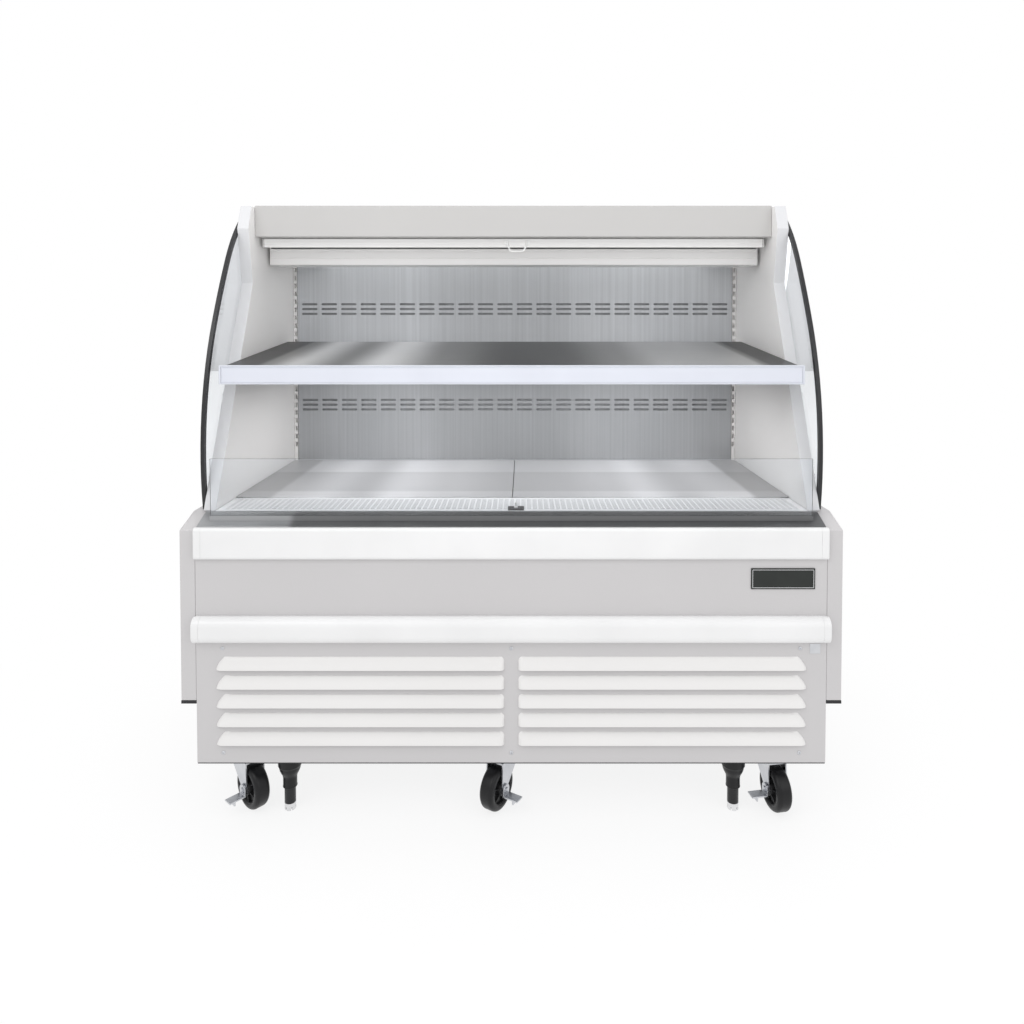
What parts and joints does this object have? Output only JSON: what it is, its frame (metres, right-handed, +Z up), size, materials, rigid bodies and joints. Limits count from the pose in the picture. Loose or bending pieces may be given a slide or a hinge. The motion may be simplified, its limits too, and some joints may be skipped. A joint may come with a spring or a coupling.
{
  "type": "refrigerated deli case",
  "caption": "Open-front refrigerated deli case on casters with curved side glass, a low clear front guard, a steel shelf and deck, and a pull-down night curtain.",
  "frame": {"origin": "on the floor under the middle of the whole case", "axes": "+X to the right of someone facing the front, +Y to the rear, +Z up"},
  "size_m": [1.511, 0.889, 1.45],
  "materials": {
    "white_panel": "satin",
    "wall_white": "satin",
    "bumper_white": "satin",
    "stainless": "satin",
    "shelf_steel": "satin",
    "galvanised": "satin",
    "zinc": "satin",
    "caster_rubber": "satin",
    "black_plastic": "matte",
    "black_trim": "satin",
    "clear_glass": "polished",
    "rail_white": "satin",
    "aluminium": "satin",
    "curtain_cloth": "matte",
    "grille_white": "satin",
    "coil_fins": "satin",
    "black_enamel": "gloss",
    "lamp_white": "matte",
    "badge_black": "gloss"
  },
  "bodies": {
    "case": {"base_frame": "galvanised", "louvre_panel": "white_panel", "rear_grille": "galvanised", "caster_plates": "zinc", "leg_sleeves": "black_plastic", "insulated_tub": "galvanised", "end_panels": "white_panel", "side_walls": "wall_white", "side_glass": "clear_glass", "edge_trims": "black_trim", "canopy": "white_panel", "back_panel": "galvanised", "duct_panel": "stainless", "front_ledge": "stainless", "front_guard": "clear_glass", "guard_channel": "stainless", "upper_bumper": "bumper_white", "front_panel": "white_panel", "lower_bumper": "bumper_white", "badge": "badge_black", "return_grille": "grille_white", "shelf_supports": "galvanised", "curtain_housing": "wall_white", "curtain_strip": "curtain_cloth", "curtain_catch": "black_plastic", "lamp": "lamp_white", "evaporator_coil": "coil_fins", "fan_plate": "galvanised", "compressor": "black_enamel", "condenser": "coil_fins", "control_box": "galvanised", "fasteners": "zinc"},
    "shelf": {"shelf_tray": "shelf_steel", "shelf_rail": "rail_white"},
    "deck_left": {"deck_pan_left": "stainless"},
    "deck_right": {"deck_pan_right": "stainless"},
    "curtain_bar": {"curtain_bar": "aluminium"},
    "curtain_roller": {"curtain_roller": "curtain_cloth"},
    "fan_left": {"evaporator_fan_left": "black_plastic"},
    "fan_right": {"evaporator_fan_right": "black_plastic"},
    "condenser_fan": {"condenser_fan": "black_plastic"},
    "light_switch": {"light_switch": "black_plastic"},
    "thermostat_knob": {"thermostat_knob": "black_plastic"},
    "caster_fork_1": {"caster_fork_1": "zinc"},
    "caster_wheel_1": {"caster_wheel_1": "caster_rubber"},
    "caster_fork_2": {"caster_fork_2": "zinc"},
    "caster_wheel_2": {"caster_wheel_2": "caster_rubber"},
    "caster_fork_3": {"caster_fork_3": "zinc"},
    "caster_wheel_3": {"caster_wheel_3": "caster_rubber"},
    "caster_fork_4": {"caster_fork_4": "zinc"},
    "caster_wheel_4": {"caster_wheel_4": "caster_rubber"},
    "caster_fork_5": {"caster_fork_5": "zinc"},
    "caster_wheel_5": {"caster_wheel_5": "caster_rubber"},
    "caster_fork_6": {"caster_fork_6": "zinc"},
    "caster_wheel_6": {"caster_wheel_6": "caster_rubber"},
    "brake_pedal_1": {"brake_pedal_1": "zinc"},
    "brake_pedal_2": {"brake_pedal_2": "zinc"},
    "brake_pedal_3": {"brake_pedal_3": "zinc"},
    "leg_foot_1": {"leg_foot_1": "zinc"},
    "leg_foot_2": {"leg_foot_2": "zinc"},
    "leg_foot_3": {"leg_foot_3": "zinc"},
    "leg_foot_4": {"leg_foot_4": "zinc"}
  },
  "joints": [
    {"name": "caster_swivel_1", "type": "hinge", "parent": "case", "child": "caster_fork_1", "pos_m": [-0.629, -0.3605, 0.115], "axis": [0, 0, 1], "continuous": true},
    {"name": "wheel_roll_1", "type": "hinge", "parent": "caster_fork_1", "child": "caster_wheel_1", "pos_m": [-0.60671, -0.38057, 0.05], "axis": [0.6691, 0.7431, 0], "continuous": true},
    {"name": "brake_press_1", "type": "hinge", "parent": "caster_fork_1", "child": "brake_pedal_1", "pos_m": [-0.60671, -0.38057, 0.05], "axis": [0.6691, 0.7431, 0], "range_deg": [-30, 0]},
    {"name": "caster_swivel_2", "type": "hinge", "parent": "case", "child": "caster_fork_2", "pos_m": [-0.02, -0.3605, 0.115], "axis": [0, 0, 1], "continuous": true},
    {"name": "wheel_roll_2", "type": "hinge", "parent": "caster_fork_2", "child": "caster_wheel_2", "pos_m": [-0.03545, -0.38621, 0.05], "axis": [0.8572, -0.515, 0], "continuous": true},
    {"name": "brake_press_2", "type": "hinge", "parent": "caster_fork_2", "child": "brake_pedal_2", "pos_m": [-0.03545, -0.38621, 0.05], "axis": [0.8572, -0.515, 0], "range_deg": [-30, 0]},
    {"name": "caster_swivel_3", "type": "hinge", "parent": "case", "child": "caster_fork_3", "pos_m": [0.612, -0.3605, 0.115], "axis": [0, 0, 1], "continuous": true},
    {"name": "wheel_roll_3", "type": "hinge", "parent": "caster_fork_3", "child": "caster_wheel_3", "pos_m": [0.61721, -0.39004, 0.05], "axis": [0.9848, 0.1736, 0], "continuous": true},
    {"name": "brake_press_3", "type": "hinge", "parent": "caster_fork_3", "child": "brake_pedal_3", "pos_m": [0.61721, -0.39004, 0.05], "axis": [0.9848, 0.1736, 0], "range_deg": [-30, 0]},
    {"name": "caster_swivel_4", "type": "hinge", "parent": "case", "child": "caster_fork_4", "pos_m": [-0.612, 0.3825, 0.115], "axis": [0, 0, 1], "continuous": true},
    {"name": "wheel_roll_4", "type": "hinge", "parent": "caster_fork_4", "child": "caster_wheel_4", "pos_m": [-0.60273, 0.35397, 0.05], "axis": [0.9511, 0.309, 0], "continuous": true},
    {"name": "caster_swivel_5", "type": "hinge", "parent": "case", "child": "caster_fork_5", "pos_m": [-0.02, 0.3825, 0.115], "axis": [0, 0, 1], "continuous": true},
    {"name": "wheel_roll_5", "type": "hinge", "parent": "caster_fork_5", "child": "caster_wheel_5", "pos_m": [-0.02, 0.3525, 0.05], "axis": [1, 0, 0], "continuous": true},
    {"name": "caster_swivel_6", "type": "hinge", "parent": "case", "child": "caster_fork_6", "pos_m": [0.612, 0.3825, 0.115], "axis": [0, 0, 1], "continuous": true},
    {"name": "wheel_roll_6", "type": "hinge", "parent": "caster_fork_6", "child": "caster_wheel_6", "pos_m": [0.60273, 0.35397, 0.05], "axis": [0.9511, -0.309, 0], "continuous": true},
    {"name": "leg_screw_1", "type": "slide", "parent": "case", "child": "leg_foot_1", "axis": [0, 0, -1], "range_m": [-0.03, 0.012]},
    {"name": "leg_screw_2", "type": "slide", "parent": "case", "child": "leg_foot_2", "axis": [0, 0, -1], "range_m": [-0.03, 0.012]},
    {"name": "leg_screw_3", "type": "slide", "parent": "case", "child": "leg_foot_3", "axis": [0, 0, -1], "range_m": [-0.03, 0.012]},
    {"name": "leg_screw_4", "type": "slide", "parent": "case", "child": "leg_foot_4", "axis": [0, 0, -1], "range_m": [-0.03, 0.012]},
    {"name": "shelf_lift", "type": "slide", "parent": "case", "child": "shelf", "axis": [0, 0, 1], "range_m": [0, 0.025]},
    {"name": "deck_lift_left", "type": "slide", "parent": "case", "child": "deck_left", "axis": [0, 0, 1], "range_m": [0, 0.08]},
    {"name": "deck_lift_right", "type": "slide", "parent": "case", "child": "deck_right", "axis": [0, 0, 1], "range_m": [0, 0.08]},
    {"name": "curtain_pull", "type": "hinge", "parent": "case", "child": "curtain_bar", "pos_m": [0, 0.1225, 0.878], "axis": [1, 0, 0], "range_deg": [0, 90], "stiffness_Nm_per_rad": 1.5, "springref_deg": -114.59, "deforming": ["curtain_strip"]},
    {"name": "curtain_roll", "type": "hinge", "parent": "case", "child": "curtain_roller", "pos_m": [0, 0.0615, 1.325], "axis": [1, 0, 0], "range_deg": [0, 2600]},
    {"name": "fan_spin_left", "type": "hinge", "parent": "case", "child": "fan_left", "pos_m": [-0.3, -0.0215, 0.556], "axis": [0, 1, 0], "continuous": true},
    {"name": "fan_spin_right", "type": "hinge", "parent": "case", "child": "fan_right", "pos_m": [0.3, -0.0215, 0.556], "axis": [0, 1, 0], "continuous": true},
    {"name": "condenser_fan_spin", "type": "hinge", "parent": "case", "child": "condenser_fan", "pos_m": [-0.26, -0.1875, 0.286], "axis": [0, 1, 0], "continuous": true},
    {"name": "light_switch_rock", "type": "hinge", "parent": "case", "child": "light_switch", "pos_m": [-0.61, 0.4365, 0.32], "axis": [1, 0, 0], "range_deg": [0, 14]},
    {"name": "thermostat_turn", "type": "hinge", "parent": "case", "child": "thermostat_knob", "pos_m": [-0.525, 0.4365, 0.32], "axis": [0, 1, 0], "range_deg": [0, 270]}
  ],
  "couplings": [
    {"joint": "curtain_roll", "follows": "curtain_pull", "ratio": 27.7}
  ]
}
